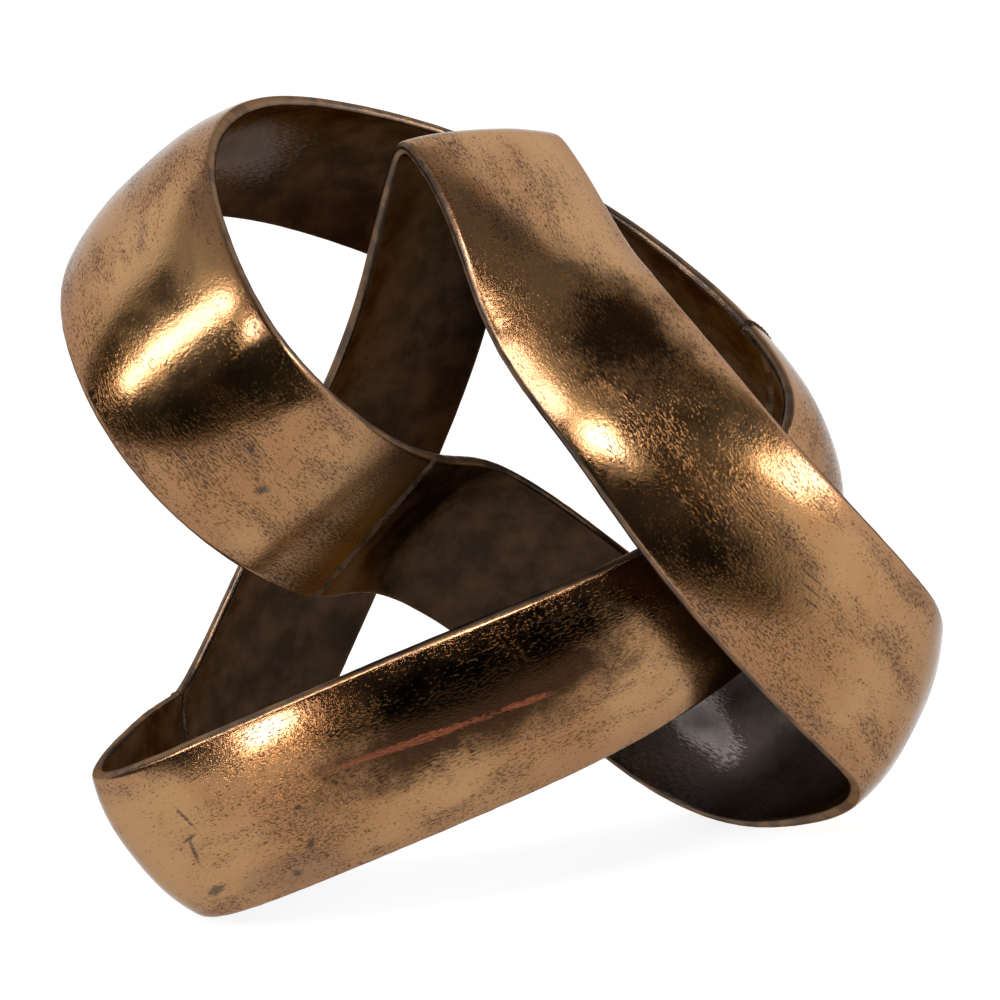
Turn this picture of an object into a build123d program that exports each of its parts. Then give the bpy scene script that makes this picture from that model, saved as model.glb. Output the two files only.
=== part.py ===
"""Knot sculpture: one wide cast band tied in an overhand knot, in three castings welded end to end.

Millimetres, +Z up, standing on Z = 0 as it does on a shelf, with its front towards -Y.
"""
import os
from math import ceil

from build123d import *

os.makedirs("parts", exist_ok=True)

# The knot, between the middles of the band at its outermost bends
KNOT_WIDTH = 216.0
KNOT_DEPTH = 140.0
KNOT_HEIGHT = 190.0
FOOT_GRIND = 1.3  # how far the floor lies above the lowest point of the band's edge

# The band
BAND_WIDTH = 55.0
BAND_THICKNESS = 4.0
BAND_CROWN = 4.6  # rise of the middle of a face above its edges
CREST_CROWN = 2.2  # the same at the crest, where the sharp bend flattens the band
JOINT_CROWN = 0.1  # the same at the middle joint, where the band turns over
RIM_BULGE = 1.1  # rise of the middle of a rim above its corners

# The steps in which the band is drawn
SECTION_STEP = 14.0  # longest distance between two cross sections
SECTION_TURN = 9.0  # largest turn between two of them, in degrees

# The welds between the castings
WELD_LENGTH = 3.0
WELD_RISE = 0.7
HALF_WELD = WELD_LENGTH / 2

# Stations along the band, in the order of travel: the band's middle, in hundredths of the knot's width,
# depth and height, and the direction across it from its right edge to its left edge, seen with the
# outer face up
MIDDLE_JOINT = ((-18.5, -30.7, 50.0), (-0.68, 0.01, -0.73))
LOWER_JOINT = ((-44.4, -6.4, 3.2), (-0.30, -0.13, 0.95))
RIGHT_JOINT = ((35.9, 26.3, 56.8), (-0.30, -0.48, 0.82))

# From the middle joint behind the lower arm, round the right foot, up the front, over the crest
# and down the back
FRONT_ARM = [
    ((-11.1, -9.3, 43.2), (-0.70, 0.07, -0.71)),
    ((14.8, 6.4, 14.7), (-0.66, -0.03, -0.75)),
    ((30.1, 5.0, 1.1), (-0.47, -0.50, -0.73)),
    ((39.4, -2.9, 0.0), (-0.46, -0.69, -0.55)),
    ((49.5, -33.6, 17.4), (-0.55, -0.60, -0.58)),
    ((46.8, -40.7, 24.2), (-0.65, -0.47, -0.59)),
    ((25.5, -46.4, 56.8), (-0.76, -0.48, -0.44)),
    ((17.4, -38.4, 69.2), (-0.76, -0.56, -0.32)),
    ((9.2, -23.2, 80.9), (-0.86, -0.50, -0.09)),
    ((7.5, -18.9, 84.2), (-0.83, -0.56, -0.03)),
    ((0.5, 2.1, 98.4), (-0.81, -0.57, 0.15)),
    ((-1.4, 6.4, 100.0), (-0.81, -0.56, 0.14)),
    ((-3.2, 10.0, 97.4), (-0.79, -0.60, 0.09)),
    ((-9.3, 17.9, 76.3), (-0.72, -0.67, 0.18)),
    ((-29.6, 19.3, 26.3), (-0.64, -0.54, 0.55)),
]

# Round the left foot, across the front and round the right loop
LOWER_ARM = [
    ((-48.6, -24.3, 4.2), (-0.25, 0.07, 0.97)),
    ((-50.5, -38.6, 3.2), (-0.49, -0.02, 0.87)),
    ((-37.0, -50.7, 10.5), (-0.40, -0.02, 0.92)),
    ((-5.6, -48.6, 23.7), (-0.30, -0.01, 0.95)),
    ((27.3, -25.7, 34.7), (-0.24, -0.20, 0.95)),
    ((41.7, 5.7, 47.4), (-0.29, -0.45, 0.84)),
]

# Across the back, round the top left loop and in to the middle of the front
SIDE_LOOP = [
    ((25.0, 39.4, 63.8), (0.02, -0.60, 0.80)),
    ((-0.9, 48.6, 78.9), (0.42, -0.40, 0.81)),
    ((-25.9, 35.0, 93.2), (0.57, -0.41, 0.71)),
    ((-39.4, 13.6, 98.4), (0.65, -0.37, 0.67)),
    ((-44.9, -7.1, 97.4), (0.75, -0.29, 0.59)),
    ((-43.5, -38.6, 86.8), (0.88, -0.07, 0.46)),
    ((-38.4, -49.3, 76.8), (0.82, 0.06, 0.57)),
]

stations = [MIDDLE_JOINT, *FRONT_ARM, LOWER_JOINT, *LOWER_ARM, RIGHT_JOINT, *SIDE_LOOP]
CREST_STATIONS = range(11, 14)  # their numbers in the list
LOWER_INDEX = stations.index(LOWER_JOINT)
RIGHT_INDEX = stations.index(RIGHT_JOINT)
LAST_INDEX = len(stations)

# The crown at every station: it dies out at the middle joint, where the travel begins and ends
crowns = [BAND_CROWN] * LAST_INDEX + [JOINT_CROWN]
crowns[0] = JOINT_CROWN
for crest_station in CREST_STATIONS:
    crowns[crest_station] = CREST_CROWN


def edge_point(station, side):
    """Point of the band's edge at a station: side 1 is its left edge and -1 its right edge."""
    (x, y, z), across = station
    middle = Vector(x * KNOT_WIDTH, y * KNOT_DEPTH, z * KNOT_HEIGHT) / 100
    return middle + Vector(*across).normalized() * side * BAND_WIDTH / 2


# The band is turned over once on its way round, so its left edge runs on into its right edge:
# one closed curve passes every station twice
edge_points = [edge_point(station, side) for side in (1, -1) for station in stations]
with BuildLine() as edge_line:
    Spline(*edge_points, periodic=True)
drawn_edge = edge_line.edge()
edge_places = [drawn_edge.param_at_point(point) for point in edge_points] + [1]
edge_places[0] = 0

# Moved up or down to stand on Z = 0
band_edge = drawn_edge.moved(Pos(0, 0, -FOOT_GRIND - drawn_edge.bounding_box().min.Z))


def band_plane(index, share=0.0):
    """Plane square to the band, a share of the way from one station to the next, facing along the travel."""
    left, right = [
        edge_places[i] + (edge_places[i + 1] - edge_places[i]) * share for i in (index, index + LAST_INDEX)
    ]
    middle = (band_edge @ left + band_edge @ right) / 2
    across = band_edge @ left - band_edge @ right
    return Plane(middle, x_dir=across, z_dir=band_edge % left + band_edge % right)


def band_section(plane, crown=BAND_CROWN, rise=0.0):
    """Cross section of the band on a plane, its outer face towards the plane's +Y."""
    left = rise + BAND_WIDTH / 2 - RIM_BULGE
    top = rise + BAND_THICKNESS / 2
    with BuildSketch(plane) as section:
        with BuildLine():
            ThreePointArc((left, top), (0, top + crown), (-left, top))
            ThreePointArc((-left, top), (-left - RIM_BULGE, 0), (-left, -top))
            ThreePointArc((-left, -top), (0, crown - top), (left, -top))
            ThreePointArc((left, -top), (left + RIM_BULGE, 0), (left, top))
        make_face()
    return section.sketch


def crown_at(index, share):
    """Crown of the band, a share of the way from one station to the next."""
    return crowns[index] + (crowns[index + 1] - crowns[index]) * share


def arm_sections(first, last, start, end):
    """Cross sections of one casting, from its start section at one joint to its end section at the next."""
    sections = []
    for index in range(first, last):
        here = band_plane(index)
        there = band_plane(index, share=1.0)
        length = (there.origin - here.origin).length
        turn = here.z_dir.get_angle(there.z_dir)
        steps = ceil(max(length / SECTION_STEP, turn / SECTION_TURN))
        shares = [step / steps for step in range(steps)]
        sections += [band_section(band_plane(index, share), crown_at(index, share)) for share in shares]
    return [start, *sections[1:], end]


def weld_sections(joint, crown=BAND_CROWN):
    """Sections of a weld bead that fills the gap at a joint and stands a little proud of it."""
    return [
        band_section(joint.offset(-HALF_WELD), crown),
        band_section(joint, crown, WELD_RISE),
        band_section(joint.offset(HALF_WELD), crown),
    ]


# Joints, with the band's ends half a weld to either side. The band turns over at the middle joint,
# so its crown dies out there.
middle_joint = band_plane(0)
lower_joint = band_plane(LOWER_INDEX)
right_joint = band_plane(RIGHT_INDEX)
turned_joint = band_plane(LAST_INDEX - 1, share=1.0)
floor = Plane.XY

with BuildPart() as front_arm:
    start = band_section(middle_joint.offset(HALF_WELD), JOINT_CROWN)
    end = band_section(lower_joint.offset(-HALF_WELD))
    loft(arm_sections(0, LOWER_INDEX, start, end), ruled=True)
    split(bisect_by=floor)

with BuildPart() as lower_arm:
    start = band_section(lower_joint.offset(HALF_WELD))
    end = band_section(right_joint.offset(-HALF_WELD))
    loft(arm_sections(LOWER_INDEX, RIGHT_INDEX, start, end), ruled=True)
    split(bisect_by=floor)

with BuildPart() as side_loop:
    start = band_section(right_joint.offset(HALF_WELD))
    end = band_section(turned_joint.offset(-HALF_WELD), JOINT_CROWN)
    loft(arm_sections(RIGHT_INDEX, LAST_INDEX, start, end), ruled=True)

with BuildPart() as middle_weld:
    loft(weld_sections(middle_joint, JOINT_CROWN))

with BuildPart() as lower_weld:
    loft(weld_sections(lower_joint))
    split(bisect_by=floor)

with BuildPart() as right_weld:
    loft(weld_sections(right_joint))

pieces = {
    "front_arm": front_arm,
    "lower_arm": lower_arm,
    "side_loop": side_loop,
    "middle_weld": middle_weld,
    "lower_weld": lower_weld,
    "right_weld": right_weld,
}
for name, piece in pieces.items():
    piece.part.label = name
    export_step(piece.part, f"parts/{name}.step")
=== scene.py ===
"""Looks of the metal knot sculpture: a cast band with an antique gold finish, tied in an overhand knot."""

import bpy
import numpy as np
from mathutils import Matrix, Vector


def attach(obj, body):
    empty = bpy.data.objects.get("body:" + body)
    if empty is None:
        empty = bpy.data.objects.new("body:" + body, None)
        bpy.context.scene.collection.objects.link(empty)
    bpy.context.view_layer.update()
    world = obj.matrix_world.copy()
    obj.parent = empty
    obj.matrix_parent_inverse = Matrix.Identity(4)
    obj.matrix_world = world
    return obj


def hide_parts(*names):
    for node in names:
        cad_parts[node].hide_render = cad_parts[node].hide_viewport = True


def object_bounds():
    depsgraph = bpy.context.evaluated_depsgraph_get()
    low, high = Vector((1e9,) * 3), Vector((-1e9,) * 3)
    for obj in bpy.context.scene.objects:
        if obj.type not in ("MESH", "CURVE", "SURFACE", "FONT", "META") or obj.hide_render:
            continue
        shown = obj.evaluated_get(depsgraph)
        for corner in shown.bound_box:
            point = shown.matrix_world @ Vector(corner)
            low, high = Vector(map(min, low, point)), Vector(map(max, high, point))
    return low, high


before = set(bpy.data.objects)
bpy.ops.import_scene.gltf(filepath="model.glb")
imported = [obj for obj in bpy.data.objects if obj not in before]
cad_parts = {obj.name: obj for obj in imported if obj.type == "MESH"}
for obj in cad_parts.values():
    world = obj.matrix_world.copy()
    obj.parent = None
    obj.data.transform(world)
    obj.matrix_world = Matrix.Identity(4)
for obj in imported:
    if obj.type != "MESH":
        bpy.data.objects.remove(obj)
cad_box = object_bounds()

MM = 0.001

# The band, with the values of the CAD source in millimetres
KNOT_SIZE = np.array((216.0, 140.0, 190.0))
FOOT_GRIND = 1.3
BAND_WIDTH = 55.0
BAND_THICKNESS = 4.0
BAND_CROWN = 4.6
CREST_CROWN = 2.2
JOINT_CROWN = 0.1
RIM_BULGE = 1.1
WELD_LENGTH = 3.0
WELD_RISE = 0.7

# Its surface: faces that roll over towards the edges, a casting that is never quite even, and rippled welds
CROWN_POWER = 2.5
UNEVENNESS = 0.3
SWELL_SCALE = 55  # cells to a metre of the noise that moves the faces in and out
RAGGED_SCALE = 260  # the same for the rims
WELD_RIPPLE = 2.4  # distance between two ripples of a weld
RIPPLE_SHARE = 0.25  # share of a weld's rise that comes and goes with its ripples

# Points of the cross section: on a face they lie closer together near its edges, in shares of the half width
FACE_EDGE = np.array((1, 0.992, 0.978))
FACE_MIDDLE = np.linspace(0.945, -0.945, 41)
RIM_STEPS = 8
CORNER_PASSES = 2  # times that the corners are rounded off

# The band's middle in hundredths of the knot's size, and the direction across it
STATIONS = [
    ((-18.5, -30.7, 50.0), (-0.68, 0.01, -0.73)),
    ((-11.1, -9.3, 43.2), (-0.70, 0.07, -0.71)),
    ((14.8, 6.4, 14.7), (-0.66, -0.03, -0.75)),
    ((30.1, 5.0, 1.1), (-0.47, -0.50, -0.73)),
    ((39.4, -2.9, 0.0), (-0.46, -0.69, -0.55)),
    ((49.5, -33.6, 17.4), (-0.55, -0.60, -0.58)),
    ((46.8, -40.7, 24.2), (-0.65, -0.47, -0.59)),
    ((25.5, -46.4, 56.8), (-0.76, -0.48, -0.44)),
    ((17.4, -38.4, 69.2), (-0.76, -0.56, -0.32)),
    ((9.2, -23.2, 80.9), (-0.86, -0.50, -0.09)),
    ((7.5, -18.9, 84.2), (-0.83, -0.56, -0.03)),
    ((0.5, 2.1, 98.4), (-0.81, -0.57, 0.15)),
    ((-1.4, 6.4, 100.0), (-0.81, -0.56, 0.14)),
    ((-3.2, 10.0, 97.4), (-0.79, -0.60, 0.09)),
    ((-9.3, 17.9, 76.3), (-0.72, -0.67, 0.18)),
    ((-29.6, 19.3, 26.3), (-0.64, -0.54, 0.55)),
    ((-44.4, -6.4, 3.2), (-0.30, -0.13, 0.95)),
    ((-48.6, -24.3, 4.2), (-0.25, 0.07, 0.97)),
    ((-50.5, -38.6, 3.2), (-0.49, -0.02, 0.87)),
    ((-37.0, -50.7, 10.5), (-0.40, -0.02, 0.92)),
    ((-5.6, -48.6, 23.7), (-0.30, -0.01, 0.95)),
    ((27.3, -25.7, 34.7), (-0.24, -0.20, 0.95)),
    ((41.7, 5.7, 47.4), (-0.29, -0.45, 0.84)),
    ((35.9, 26.3, 56.8), (-0.30, -0.48, 0.82)),
    ((25.0, 39.4, 63.8), (0.02, -0.60, 0.80)),
    ((-0.9, 48.6, 78.9), (0.42, -0.40, 0.81)),
    ((-25.9, 35.0, 93.2), (0.57, -0.41, 0.71)),
    ((-39.4, 13.6, 98.4), (0.65, -0.37, 0.67)),
    ((-44.9, -7.1, 97.4), (0.75, -0.29, 0.59)),
    ((-43.5, -38.6, 86.8), (0.88, -0.07, 0.46)),
    ((-38.4, -49.3, 76.8), (0.82, 0.06, 0.57)),
]
LAST = len(STATIONS)
CREST = range(11, 14)  # numbers of the stations at the crest
LOWER_JOINT = 16  # and at two of the joints; the middle joint is the first station
RIGHT_JOINT = 23
SPAN_STEPS = 40  # points of the path between two stations
PATH_POINTS = LAST * SPAN_STEPS
ROW_STEP = 1.3  # distance between two rows of a casting's mesh
BEAD_ROW_STEP = 0.25  # the same on a weld

# Marks on the band, in millimetres: distance along it, place across it, half length, half width, and the turn of
# the mark in degrees. The patches of painted sheen show on the inner face, the bump on both, and the others on
# the outer face.
BLOTS = (
    (1377.8, -5.0, 2.6, 1.6, 60),
    (1374.3, -3.4, 1.0, 0.9, 0),
    (1367.3, 1.5, 1.3, 0.9, 0),
    (797.6, -13.0, 2.2, 1.3, 40),
    (788.8, -20.5, 1.8, 1.6, 0),
    (799.9, -1.0, 1.2, 0.9, 0),
    (770.0, 9.0, 0.7, 5.0, 15),
    (766.5, -2.0, 0.8, 5.0, -12),
    (768.0, 3.0, 3.2, 0.7, 15),
    (764.3, -16.0, 5.0, 1.6, 20),
)
SMUDGES = (
    (434.0, 12.0, 10.0, 6.0, 30),
    (443.0, 20.0, 8.0, 4.0, 0),
    (415.0, -2.0, 9.0, 3.0, 10),
    (780.0, -18.0, 12.0, 6.0, 10),
    (792.0, -20.0, 22.0, 7.0, 0),
)
# Smoky patches: partly real patina and partly painted dark reflection of the studio, on the lower arm and below
# the front arm's crease
PATINA_AND_DARK_REFLECTION = (
    (858.0, 8.0, 64.0, 20.0, 4),
    (394.0, -6.0, 24.0, 23.0, 0),
)
COPPER_STREAKS = (
    (1350.7, 8.2, 2.6, 8.0, 5),
    (836.0, 3.6, 27.0, 1.4, -4),
    (868.0, 1.6, 9.0, 1.2, -4),
)
SCRATCHES = (
    (308.0, -3.5, 4.5, 0.3, 8),
    (305.0, -1.0, 4.8, 0.3, 8),
    (302.5, 1.5, 4.0, 0.3, 8),
)
CASTING_BUMP = (381.2, 4.5, 9.0, 7.0, 0)
CASTING_PIT = (384.0, 8.2, 1.6, 0.9, 30)
# Patches of painted sheen on the inner face: a painted reflection of the lamps, in a light metal colour
PAINTED_SHEEN_FOOT = (150.4, 1.0, 17.0, 11.0, 25)
PAINTED_SHEEN_FACES = (
    (1222.0, 0.0, 26.0, 20.0, 0),
    (165.0, 0.0, 55.0, 34.0, 0),
)
JOINT_FADE = (1387.0, 1413.0)  # where along the band the gold fades before the middle joint
EDGE_FADE = (17.0, 27.0)  # how far from its middle the gold browns towards the edges
FAR = 1e6  # scale that takes the side out of a distance on the band

# Colours of the finish
PALE_GOLD = (0.37, 0.197, 0.075, 1)
DEEP_GOLD = (0.29, 0.135, 0.046, 1)
EDGE_GOLD = (0.26, 0.12, 0.05, 1)
BROWNED_GOLD = (0.17, 0.085, 0.04, 1)
SMUDGE_BROWN = (0.085, 0.048, 0.03, 1)
# brown of the smoky patches, partly patina and partly painted dark reflection
PATINA_AND_REFLECTION_BROWN = (0.032, 0.014, 0.006, 1)
GRAIN_BROWN = (0.055, 0.026, 0.012, 1)
COPPER = (0.3, 0.085, 0.04, 1)
BLOT_BLACK = (0.02, 0.012, 0.009, 1)
JOINT_BROWN = (0.042, 0.023, 0.014, 1)
INNER_BLACK = (0.027, 0.017, 0.011, 1)
INNER_BROWN = (0.062, 0.035, 0.021, 1)
# light metal of the painted sheen on the inner face
PAINTED_SHEEN_METAL = (0.9, 0.78, 0.74, 1)
RIM_BROWN = (0.17, 0.105, 0.065, 1)
RIM_GREY = (0.10, 0.07, 0.055, 1)
BEAD_BLACK = (0.035, 0.023, 0.016, 1)
BEAD_BROWN = (0.095, 0.06, 0.04, 1)
BEAD_GRIT = (0.18, 0.13, 0.1, 1)
SHEEN = (0.5, 0.42, 0.36, 1)  # tint of the metal where it is seen at a low angle


def closed_slopes(points):
    """Slopes of the smooth closed cubic through the points, with the chord lengths as its steps."""
    count = len(points)
    steps = np.linalg.norm(np.roll(points, -1, axis=0) - points, axis=1)
    matrix = np.zeros((count, count))
    right = np.zeros((count, 3))
    for i in range(count):
        before, after = steps[i - 1], steps[i]
        following = (i + 1) % count
        matrix[i, i - 1] = after
        matrix[i, i] = 2 * (before + after)
        matrix[i, following] = before
        arriving = after / before * (points[i] - points[i - 1])
        leaving = before / after * (points[following] - points[i])
        right[i] = 3 * (arriving + leaving)
    return np.linalg.solve(matrix, right), steps


def unit(vectors):
    return vectors / np.linalg.norm(vectors, axis=1, keepdims=True)


# The band is one-sided, so its edge is one closed curve that passes every station twice
centres = np.array([centre for centre, across in STATIONS]) / 100 * KNOT_SIZE
acrosses = unit(np.array([across for centre, across in STATIONS], float))
edge_points = np.vstack([centres + acrosses * BAND_WIDTH / 2, centres - acrosses * BAND_WIDTH / 2])
edge_slopes, edge_steps = closed_slopes(edge_points)


def edge_at(places):
    """Points and directions of the edge at places counted in stations."""
    index = np.floor(places).astype(int)
    t = (places - index)[:, None]
    index %= len(edge_points)
    following = (index + 1) % len(edge_points)
    step = edge_steps[index][:, None]
    p, q = edge_points[index], edge_points[following]
    m, n = edge_slopes[index] * step, edge_slopes[following] * step
    point = (
        (2 * t**3 - 3 * t**2 + 1) * p + (t**3 - 2 * t**2 + t) * m
        + (3 * t**2 - 2 * t**3) * q + (t**3 - t**2) * n
    )
    tangent = (6 * t**2 - 6 * t) * (p - q) + (3 * t**2 - 4 * t + 1) * m + (3 * t**2 - 2 * t) * n
    return point, unit(tangent)


# The path of the band's middle once round and on through the first span, where the outer face has become the
# inner one, with its directions, crown and length at every point
places = np.arange(PATH_POINTS + SPAN_STEPS) / SPAN_STEPS
left_edge, left_travel = edge_at(places)
right_edge, right_travel = edge_at(places + LAST)
middles = (left_edge + right_edge) / 2
middles[:, 2] -= min(left_edge[:, 2].min(), right_edge[:, 2].min()) + FOOT_GRIND
travel = unit(left_travel + right_travel)
across = left_edge - right_edge
across = unit(across - travel * np.sum(across * travel, axis=1, keepdims=True))
outward = np.cross(travel, across)
crowns = np.full(LAST, BAND_CROWN)
crowns[0] = JOINT_CROWN
crowns[CREST] = CREST_CROWN
crown = np.interp(places % LAST, np.arange(LAST + 1), [*crowns, JOINT_CROWN])
lengths = np.concatenate([[0], np.cumsum(np.linalg.norm(np.diff(middles, axis=0), axis=1))])


def points_object(name, points, **attributes):
    """Loose points in metres, with values or vectors stored on them."""
    mesh = bpy.data.meshes.new(name)
    mesh.from_pydata((points * MM).tolist(), [], [])
    for key, values in attributes.items():
        kind, field = ("FLOAT_VECTOR", "vector") if values.ndim == 2 else ("FLOAT", "value")
        mesh.attributes.new(key, kind, "POINT").data.foreach_set(field, values.astype(np.float32).ravel())
    thing = bpy.data.objects.new(name, mesh)
    bpy.context.scene.collection.objects.link(thing)
    return thing


def section_points():
    """Closed cross section: the outer face from left to right, the right rim, the inner face and the left rim.

    Gives each point's place across, its height on a flat band and its share of the crown, and then each point's
    side: 1 is outer, 0 rim and -1 inner.
    """
    half = BAND_WIDTH / 2 - RIM_BULGE
    top = BAND_THICKNESS / 2
    face = np.concatenate([FACE_EDGE, FACE_MIDDLE, -FACE_EDGE[::-1]])
    rim = np.linspace(1, -1, RIM_STEPS + 1)[1:-1]
    bulge = half + RIM_BULGE * (1 - rim**2)
    arch = 1 - abs(face)**CROWN_POWER
    flat = np.zeros(len(rim))
    points = np.array([
        np.concatenate([face * half, -bulge, -face * half, bulge]),
        np.concatenate([np.full(len(face), top), rim * top, np.full(len(face), -top), -rim * top]),
        np.concatenate([arch, flat, arch, flat]),
    ]).T
    for _ in range(CORNER_PASSES):
        points = points / 2 + (np.roll(points, 1, axis=0) + np.roll(points, -1, axis=0)) / 4
    return points, np.concatenate([np.ones(len(face)), flat, -np.ones(len(face)), flat])


# The share of the crown is no length, so it is spared the change to metres
section, section_side = section_points()
section_object = points_object("section", section / (1, 1, MM), side=section_side)
path_object = points_object(
    "path", middles, across=across, outward=outward, crown=crown * MM, along=lengths * MM
)


class Socket:
    """A node's output that takes part in sums and products. make() adds any other node."""

    def __init__(self, tree, source):
        self.tree = tree
        self.source = source

    def chain(self, kind, operation, values):
        node = self.tree.nodes.new(kind)
        node.operation = operation
        for socket, value in zip([i for i in node.inputs if i.enabled], (self, *values)):
            join(self.tree, socket, value)
        return Socket(self.tree, next(o for o in node.outputs if o.enabled))

    def math(self, operation, *values):
        return self.chain("ShaderNodeMath", operation, values)

    def vector(self, operation, *values):
        return self.chain("ShaderNodeVectorMath", operation, values)

    def __add__(self, other):
        return self.math("ADD", other)

    def __sub__(self, other):
        return self.math("SUBTRACT", other)

    def __mul__(self, other):
        return self.math("MULTIPLY", other)

    def __truediv__(self, other):
        return self.math("DIVIDE", other)

    __radd__ = __add__
    __rmul__ = __mul__

    def __rsub__(self, other):
        return (self * -1) + other

    def ramp(self, low, high):
        """0 below low and 1 above high, with a soft step between."""
        return make(self.tree, "ShaderNodeMapRange", Value=self, From_Min=low, From_Max=high,
                    interpolation_type="SMOOTHSTEP")


def join(tree, socket, value):
    """Links a socket to another node's output, or sets its value."""
    if isinstance(value, Socket):
        tree.links.new(value.source, socket)
    elif hasattr(socket.default_value, "__len__") and not hasattr(value, "__len__"):
        socket.default_value = [value] * len(socket.default_value)
    else:
        socket.default_value = value


def make(tree, kind, output=0, **settings):
    """A node with its properties and inputs set by name; an underscore in an input's name is a space."""
    node = tree.nodes.new(kind)
    inputs = {}
    for name, value in settings.items():
        if hasattr(node, name):
            setattr(node, name, value)
        else:
            inputs[name.replace("_", " ")] = value
    for name, value in inputs.items():
        join(tree, next(i for i in node.inputs if i.name == name and i.enabled), value)
    return Socket(tree, node.outputs[output])


# Outputs of a Mix node, which all have the same name
MIXED_VALUE, MIXED_VECTOR, MIXED_COLOUR = 0, 1, 2


def noise(tree, vector, scale, detail=2.0, rough=0.5):
    return make(tree, "ShaderNodeTexNoise", Vector=vector, Scale=scale, Detail=detail, Roughness=rough)


def parts_of(vector):
    """The three parts of a vector."""
    first = make(vector.tree, "ShaderNodeSeparateXYZ", Vector=vector)
    return [Socket(vector.tree, output) for output in first.source.node.outputs]


BAND_INPUTS = {
    "Path": "Geometry", "Section": "Object", "Section Points": "Int", "Start": "Float", "End": "Float",
    "Rows": "Int", "Unevenness": "Float", "Weld Rise": "Float", "Lowest": "Vector", "Highest": "Vector",
    "Metal": "Material",
}


def band_tree():
    """Sweeps the section along the path between two of its points, as a closed band that is kept in a box."""
    tree = bpy.data.node_groups.new("band", "GeometryNodeTree")
    for name, kind in BAND_INPUTS.items():
        tree.interface.new_socket(name, in_out="INPUT", socket_type=f"NodeSocket{kind}")
    tree.interface.new_socket("Band", in_out="OUTPUT", socket_type="NodeSocketGeometry")
    group = tree.nodes.new("NodeGroupInput")
    given = {name: Socket(tree, group.outputs[name]) for name in BAND_INPUTS}

    def named(name, kind="FLOAT"):
        return make(tree, "GeometryNodeInputNamedAttribute", data_type=kind, Name=name)

    def numbered(curve, name):
        """Curve whose points keep their number under a name."""
        number = make(tree, "GeometryNodeInputIndex")
        return make(tree, "GeometryNodeStoreNamedAttribute", data_type="FLOAT", domain="POINT",
                    Geometry=curve, Name=name, Value=number)

    # A plain tube with the right number of rows and points to a row
    line = make(tree, "GeometryNodeCurvePrimitiveLine")
    line = make(tree, "GeometryNodeResampleCurve", Curve=line, Count=given["Rows"])
    ring = make(tree, "GeometryNodeCurvePrimitiveCircle", Resolution=given["Section Points"])
    tube = make(tree, "GeometryNodeCurveToMesh", Curve=numbered(line, "row"),
                Profile_Curve=numbered(ring, "point"), Fill_Caps=True)

    # Where each of its points lies along the path and on the section. An index gets half a step more, because
    # it loses its fraction.
    share = named("row") / (given["Rows"] - 1.0)
    place = given["Start"] + (given["End"] - given["Start"]) * share
    first = place.math("FLOOR")

    def on_path(value, kind="FLOAT_VECTOR"):
        """Value of the path at the place, between its two nearest points."""
        near = [make(tree, "GeometryNodeSampleIndex", data_type=kind, Geometry=given["Path"], Value=value,
                     Index=first + step + 0.5) for step in (0, 1)]
        output, mix = (MIXED_VECTOR, "VECTOR") if kind == "FLOAT_VECTOR" else (MIXED_VALUE, "FLOAT")
        return make(tree, "ShaderNodeMix", output, data_type=mix, Factor=place - first, A=near[0], B=near[1])

    outline = make(tree, "GeometryNodeObjectInfo", "Geometry", Object=given["Section"])
    position = make(tree, "GeometryNodeInputPosition")

    def on_section(value, kind="FLOAT_VECTOR"):
        return make(tree, "GeometryNodeSampleIndex", data_type=kind, Geometry=outline, Value=value,
                    Index=named("point") + 0.5)

    wide, flat, arch = parts_of(on_section(position))
    side = on_section(named("side"), "FLOAT")
    middle = on_path(position)

    # Ripples of a weld stand across its bead, and a casting's faces and rims wander a little
    ripples = (wide * (2 * np.pi / (WELD_RIPPLE * MM))).math("SINE")
    bead = (share * np.pi).math("SINE") * given["Weld Rise"] * (1 - RIPPLE_SHARE + RIPPLE_SHARE * ripples)
    spot = middle.vector("ADD", on_path(named("across", "FLOAT_VECTOR")).vector("SCALE", wide))
    swell = (noise(tree, spot, SWELL_SCALE, detail=1.0) - 0.5) * given["Unevenness"]
    ragged = (noise(tree, spot, RAGGED_SCALE, detail=1.0) - 0.5) * given["Unevenness"]
    ragged = ragged * wide.math("SIGN") * (1.0 - side.math("ABSOLUTE"))
    high = flat + arch * on_path(named("crown"), "FLOAT") + swell + bead * flat.math("SIGN")
    finished = spot.vector("ADD", on_path(named("outward", "FLOAT_VECTOR")).vector("SCALE", high))
    finished = finished.vector("ADD", on_path(named("across", "FLOAT_VECTOR")).vector("SCALE", ragged))
    finished = finished.vector("MAXIMUM", given["Lowest"]).vector("MINIMUM", given["Highest"])
    places_on_band = make(tree, "ShaderNodeCombineXYZ", X=on_path(named("along"), "FLOAT"), Y=wide, Z=side)

    # Both steps read the numbers of the rows and points, which are removed after them
    band = make(tree, "GeometryNodeStoreNamedAttribute", data_type="FLOAT_VECTOR", domain="POINT",
                Geometry=tube, Name="band", Value=places_on_band)
    band = make(tree, "GeometryNodeSetPosition", Geometry=band, Position=finished)
    for name in ("row", "point"):
        band = make(tree, "GeometryNodeRemoveAttribute", Geometry=band, Name=name)
    band = make(tree, "GeometryNodeSetShadeSmooth", Geometry=band, Shade_Smooth=True)
    band = make(tree, "GeometryNodeRealizeInstances", Geometry=band)
    band = make(tree, "GeometryNodeSetMaterial", Geometry=band, Material=given["Metal"])
    result = tree.nodes.new("NodeGroupOutput")
    tree.links.new(band.source, result.inputs["Band"])
    return tree


def new_material(name):
    material = bpy.data.materials.new(name)
    material.use_nodes = True
    return material, material.node_tree, material.node_tree.nodes["Principled BSDF"]


def blend(tree, share, first, second):
    return make(tree, "ShaderNodeMix", MIXED_COLOUR, data_type="RGBA", Factor=share, A=first, B=second)


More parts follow.
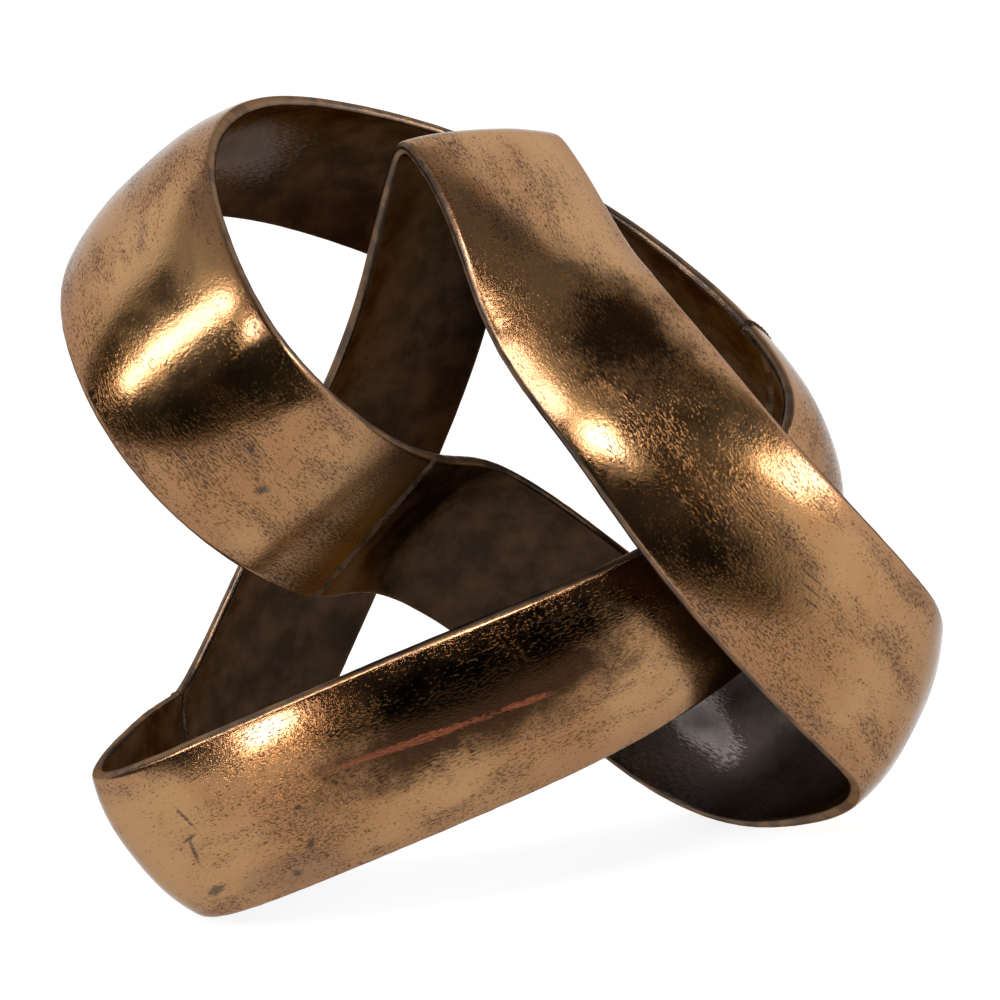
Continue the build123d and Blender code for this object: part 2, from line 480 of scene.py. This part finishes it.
def marked(band, marks, ragged):
    """1 inside any of the marks and 0 outside, with ragged outlines."""
    cover = None
    for x, y, long, wide, turn in marks:
        spot = make(band.tree, "ShaderNodeMapping", vector_type="TEXTURE", Vector=band,
                    Location=(x * MM, y * MM, 0), Rotation=(0, 0, np.radians(turn)),
                    Scale=(long * MM, wide * MM, FAR))
        spot = 1.0 - (spot.vector("LENGTH") + ragged).ramp(0.4, 1.0)
        cover = spot if cover is None else cover.math("MAXIMUM", spot)
    return cover


def antique_gold():
    """Rubbed gold over dark brown: grainy and marked outside, with smoky patches that are partly painted dark
    reflection, dark and smooth inside with patches of painted sheen, dull at the rims.
    """
    material, tree, shader = new_material("antique_gold")
    place = make(tree, "ShaderNodeTexCoord", "Object")
    band = make(tree, "ShaderNodeAttribute", "Vector", attribute_name="band")
    along, across, side = parts_of(band)
    outer = side.math("MAXIMUM", 0.0)
    inner = (side * -1).math("MAXIMUM", 0.0)
    rims = 1.0 - side.math("ABSOLUTE")
    slant = along + across * 0.3

    def drawn_out(lengthwise, crosswise, apart, detail):
        """Noise that runs along the band, with the outer and inner face apart in it."""
        spot = make(tree, "ShaderNodeCombineXYZ", X=slant * lengthwise, Y=across * crosswise, Z=side * apart)
        return noise(tree, spot, scale=1.0, detail=detail, rough=0.6)

    # Cloudy patches, the fine pebbling of the cast surface, and the grain that runs along the band
    tone = noise(tree, place, scale=24, detail=3.0)
    clouds = noise(tree, place, scale=95, detail=4.0, rough=0.6)
    ripple = noise(tree, place, scale=150)
    pebbles = noise(tree, place, scale=1000, rough=0.6)
    grain = drawn_out(600, 1900, apart=7, detail=2.0)
    drift = drawn_out(42, 110, apart=3, detail=4.0)
    grainy = (tone * 0.4 + drift * 0.6).ramp(0.40, 0.60)
    dashes = (grain + grainy * 0.16).ramp(0.625, 0.785)
    pits = (noise(tree, place, scale=1500, detail=1.0) + grainy * 0.10).ramp(0.66, 0.78)
    marks = dashes.math("MAXIMUM", pits)

    # The large marks
    ragged = (clouds - 0.5) * 1.2 + (grain - 0.5) * 1.4
    blots = marked(band, (*BLOTS, CASTING_PIT), ragged * 1.7)
    blots = blots.math("MAXIMUM", marked(band, SCRATCHES, ragged * 0.4))
    smudges = marked(band, SMUDGES, ragged) * (0.3 + dashes * 0.5)
    # Smoky patches, partly patina and partly painted dark reflection
    patina_and_reflection = marked(band, PATINA_AND_DARK_REFLECTION, ragged * 0.8)
    streaks = marked(band, COPPER_STREAKS, ragged)
    # Painted sheen on the inner face, strongest at the foot
    painted_sheen = marked(band, [PAINTED_SHEEN_FOOT], ragged).math("MAXIMUM", marked(band, PAINTED_SHEEN_FACES, ragged) * 0.12)
    edges = across.math("ABSOLUTE").ramp(EDGE_FADE[0] * MM, EDGE_FADE[1] * MM)

    # The gold ends in brown where the band turns over at the middle joint
    joint = along + across * 0.12 + (grain - 0.5) * 0.02
    joint = joint.ramp(JOINT_FADE[0] * MM, JOINT_FADE[1] * MM) * outer

    # The gold with its browned edges, grain, stains and marks; the smoky patches on it are partly painted dark
    # reflection
    gold = blend(tree, tone.ramp(0.35, 0.65), PALE_GOLD, DEEP_GOLD)
    for share, colour in (
        (edges * 0.65, EDGE_GOLD),
        (drift.ramp(0.50, 0.70) * 0.5, BROWNED_GOLD),
        (smudges, SMUDGE_BROWN),
        (patina_and_reflection * 0.97, PATINA_AND_REFLECTION_BROWN),
        (marks * 0.75, GRAIN_BROWN),
        (streaks * 0.6, COPPER),
        (blots * 0.75, BLOT_BLACK),
        (joint * 0.92, JOINT_BROWN),
    ):
        gold = blend(tree, share, gold, colour)
    dark = blend(tree, clouds.ramp(0.35, 0.7), INNER_BLACK, INNER_BROWN)
    # Painted sheen: lighter patches on the inner face that stand in for a reflection of the lamps
    dark = blend(tree, painted_sheen * (0.3 + clouds * 0.7), dark, PAINTED_SHEEN_METAL)
    rim = blend(tree, ripple.ramp(0.4, 0.6), RIM_BROWN, RIM_GREY)
    colour = blend(tree, inner, rim, dark)
    colour = blend(tree, outer, colour, gold)
    rough = 0.16 + clouds.ramp(0.3, 0.7) * 0.08 + marks * 0.06 + inner * 0.2 + rims * 0.12 + joint * 0.15
    lacquer = outer * (1.0 - joint) * (1.0 - patina_and_reflection * 0.9) * (1.0 - marks * 0.7) * 0.65
    bump = marked(band, [CASTING_BUMP], 0.0)
    height = ripple * 0.2 + pebbles * 0.17 + bump * 1.1 - dashes * 0.10 * outer
    relief = make(tree, "ShaderNodeBump", Strength=0.5, Distance=0.6 * MM, Height=height)
    join(tree, shader.inputs["Base Color"], colour)
    join(tree, shader.inputs["Roughness"], rough)
    join(tree, shader.inputs["Coat Weight"], lacquer)
    join(tree, shader.inputs["Normal"], relief)
    shader.inputs["Metallic"].default_value = 1.0
    shader.inputs["Specular Tint"].default_value = SHEEN
    shader.inputs["Coat Roughness"].default_value = 0.18
    return material


def weld_bead():
    """Dull grey-brown bead with a little of the gold rubbed on to its ripples."""
    material, tree, shader = new_material("weld_bead")
    place = make(tree, "ShaderNodeTexCoord", "Object")
    clouds = noise(tree, place, scale=160, detail=3.0, rough=0.6)
    grit = noise(tree, place, scale=900, rough=0.6)
    colour = blend(tree, clouds.ramp(0.35, 0.65), BEAD_BLACK, BEAD_BROWN)
    colour = blend(tree, grit.ramp(0.6, 0.7) * 0.3, colour, BEAD_GRIT)
    relief = make(tree, "ShaderNodeBump", Strength=0.6, Distance=0.5 * MM, Height=grit)
    join(tree, shader.inputs["Base Color"], colour)
    join(tree, shader.inputs["Roughness"], 0.32 + clouds * 0.2)
    join(tree, shader.inputs["Normal"], relief)
    shader.inputs["Metallic"].default_value = 1.0
    shader.inputs["Specular Tint"].default_value = SHEEN
    return material


sweep = band_tree()
metals = {"antique_gold": antique_gold(), "weld_bead": weld_bead()}


def point_at(length):
    """Point of the path at a distance along it, with parts of a step."""
    return float(np.interp(length, lengths, np.arange(len(lengths))))


def band_piece(name, node, start, end, slot, weld_rise=0.0, step=ROW_STEP):
    """The band between two distances along it, in place of a CAD node."""
    values = {
        "Section": section_object,
        "Section Points": len(section),
        "Start": point_at(start),
        "End": point_at(end),
        "Rows": int((end - start) / step) + 2,
        "Unevenness": UNEVENNESS * MM,
        "Weld Rise": weld_rise * MM,
        "Lowest": tuple(cad_box[0]),
        "Highest": tuple(cad_box[1]),
        "Metal": metals[slot],
    }
    carrier = bpy.data.objects.new(name, path_object.data)
    bpy.context.scene.collection.objects.link(carrier)
    modifier = carrier.modifiers.new("band", "NODES")
    modifier.node_group = sweep
    for item in sweep.interface.items_tree:
        if item.name in values:
            modifier[item.identifier] = values[item.name]
    mesh = bpy.data.meshes.new_from_object(carrier.evaluated_get(bpy.context.evaluated_depsgraph_get()))
    bpy.data.objects.remove(carrier)
    piece = bpy.data.objects.new(name, mesh)
    bpy.context.scene.collection.objects.link(piece)
    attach(piece, "root")
    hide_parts(node)


# The castings run from joint to joint, and a weld fills the gap at each
half_weld = WELD_LENGTH / 2
lower = lengths[LOWER_JOINT * SPAN_STEPS]
right = lengths[RIGHT_JOINT * SPAN_STEPS]
total = lengths[PATH_POINTS]
for arm, start, end in (("front_arm", 0.0, lower), ("lower_arm", lower, right), ("side_loop", right, total)):
    band_piece(f"{arm}_cast", arm, start + half_weld, end - half_weld, "antique_gold")
for weld, place in (("lower_weld", lower), ("right_weld", right), ("middle_weld", total)):
    band_piece(f"{weld}_bead", weld, place - half_weld, place + half_weld, "weld_bead",
               weld_rise=WELD_RISE, step=BEAD_ROW_STEP)
for helper in (path_object, section_object):
    bpy.data.objects.remove(helper)

# Paper floor, white to the camera and in the metal
FLOOR_FRONT = 0.5  # how far it reaches in front of the knot's middle
FLOOR_SIZE = 8.0
PAPER_GREY = (0.25, 0.25, 0.25, 1)
PAPER_GLOW = 0.85
bpy.ops.mesh.primitive_plane_add(size=FLOOR_SIZE, location=(0, FLOOR_SIZE / 2 - FLOOR_FRONT, 0))
floor = bpy.context.object
floor.name = "floor"
paper, paper_tree, paper_shader = new_material("paper")
seen = make(paper_tree, "ShaderNodeLightPath", "Is Camera Ray")
seen = seen.math("MAXIMUM", make(paper_tree, "ShaderNodeLightPath", "Is Glossy Ray"))
join(paper_tree, paper_shader.inputs["Emission Color"], seen)
paper_shader.inputs["Emission Strength"].default_value = PAPER_GLOW
paper_shader.inputs["Base Color"].default_value = PAPER_GREY
paper_shader.inputs["Roughness"].default_value = 0.9
floor.data.materials.append(paper)

# Studio: white walls at the left, behind and low at the right, a ceiling that is grey at the left and dark at
# the right, and dark behind the camera, which itself sees white
WALL_LIGHT = 1.3
CEILING_LIGHT = 0.5
CORNER_LIGHT = 0.25
DARK_LIGHT = 0.015
world = bpy.data.worlds.new("studio")
bpy.context.scene.world = world
world.use_nodes = True
sky = world.node_tree
east, north, up = parts_of(make(sky, "ShaderNodeTexCoord", "Generated"))
level = (1.0 - up * up).math("MAXIMUM", 0.0001).math("SQRT")
facing = north * -1 / level
dark_front = facing.ramp(-0.08, 0.03)
low_flat = (east / level).ramp(0.64, 0.78) * (1.0 - up.ramp(0.44, 0.52))
dark_right = facing.ramp(-0.42, -0.30) * east.ramp(0.0, 0.2) * up.ramp(0.56, 0.62)
dark = dark_front.math("MAXIMUM", dark_right) * (1.0 - low_flat)
brightness = WALL_LIGHT - dark * (WALL_LIGHT - DARK_LIGHT)
dark_corner = (east / level).ramp(0.1, 0.35) * facing.ramp(-0.64, -0.52)
ceiling = CEILING_LIGHT - dark_corner * (CEILING_LIGHT - CORNER_LIGHT)
brightness = brightness + (ceiling - brightness) * up.ramp(0.79, 0.85)
brightness = brightness.math("MAXIMUM", make(sky, "ShaderNodeLightPath", "Is Camera Ray"))
backdrop = sky.nodes["Background"]
backdrop.inputs["Color"].default_value = (1, 1, 1, 1)
join(sky, backdrop.inputs["Strength"], brightness)


def area_lamp(name, aim_at, azimuth, elevation, distance, wide, high, glow, roll=0, spread=180):
    """Soft lamp aimed at a point, as bright as its glow at any size and spread.

    Azimuth counts from the front to the right, and roll lifts its right side.
    """
    data = bpy.data.lights.new(name, "AREA")
    data.shape = "RECTANGLE"
    data.size = wide
    data.size_y = high
    data.spread = np.radians(spread)
    cone = np.tan(data.spread / 2)
    data.energy = glow * np.pi * wide * high * (cone - data.spread / 2) / cone
    lamp = bpy.data.objects.new(name, data)
    a, e = np.radians((azimuth, elevation))
    away = Vector((np.cos(e) * np.sin(a), -np.cos(e) * np.cos(a), np.sin(e)))
    lamp.location = Vector(aim_at) + away * distance
    aim = away.to_track_quat("Z", "Y").to_matrix() @ Matrix.Rotation(np.radians(roll), 3, "Z")
    lamp.rotation_euler = aim.to_euler()
    bpy.context.scene.collection.objects.link(lamp)


area_lamp("strip_left", aim_at=(-0.09, -0.065, 0.155), azimuth=-42, elevation=42, distance=1.6,
          wide=1.75, high=0.28, glow=13, roll=53)
area_lamp("strip_right", aim_at=(0.08, -0.06, 0.11), azimuth=76, elevation=31.5, distance=1.6,
          wide=0.72, high=0.22, glow=15)
area_lamp("front_lamp", aim_at=(0.035, -0.065, 0.145), azimuth=7, elevation=44, distance=0.5,
          wide=0.18, high=0.11, glow=50, spread=18)
area_lamp("low_lamp", aim_at=(-0.065, -0.075, 0.04), azimuth=-25, elevation=9, distance=0.3,
          wide=0.045, high=0.10, glow=60, spread=25)

# Camera at the photograph's angle, turned a little about its own axis
CAMERA_LENS = 122.4
CAMERA_SENSOR = 36
CAMERA_AIM = Vector((-0.003, -0.015, 0.109))
CAMERA_DISTANCE = 0.986
camera_data = bpy.data.cameras.new("camera")
camera_data.sensor_width = CAMERA_SENSOR
camera_data.lens = CAMERA_LENS
camera = bpy.data.objects.new("camera", camera_data)
right_axis = Vector((0.9984, -0.0190, -0.0523))
towards = Vector((0, -0.9399, 0.3415)).normalized()
up_axis = towards.cross(right_axis).normalized()
right_axis = up_axis.cross(towards)
turn = Matrix((right_axis, up_axis, towards)).transposed().to_4x4()
camera.matrix_world = Matrix.Translation(CAMERA_AIM + towards * CAMERA_DISTANCE) @ turn
bpy.context.scene.collection.objects.link(camera)
bpy.context.scene.camera = camera
bpy.context.scene.view_settings.view_transform = "Standard"
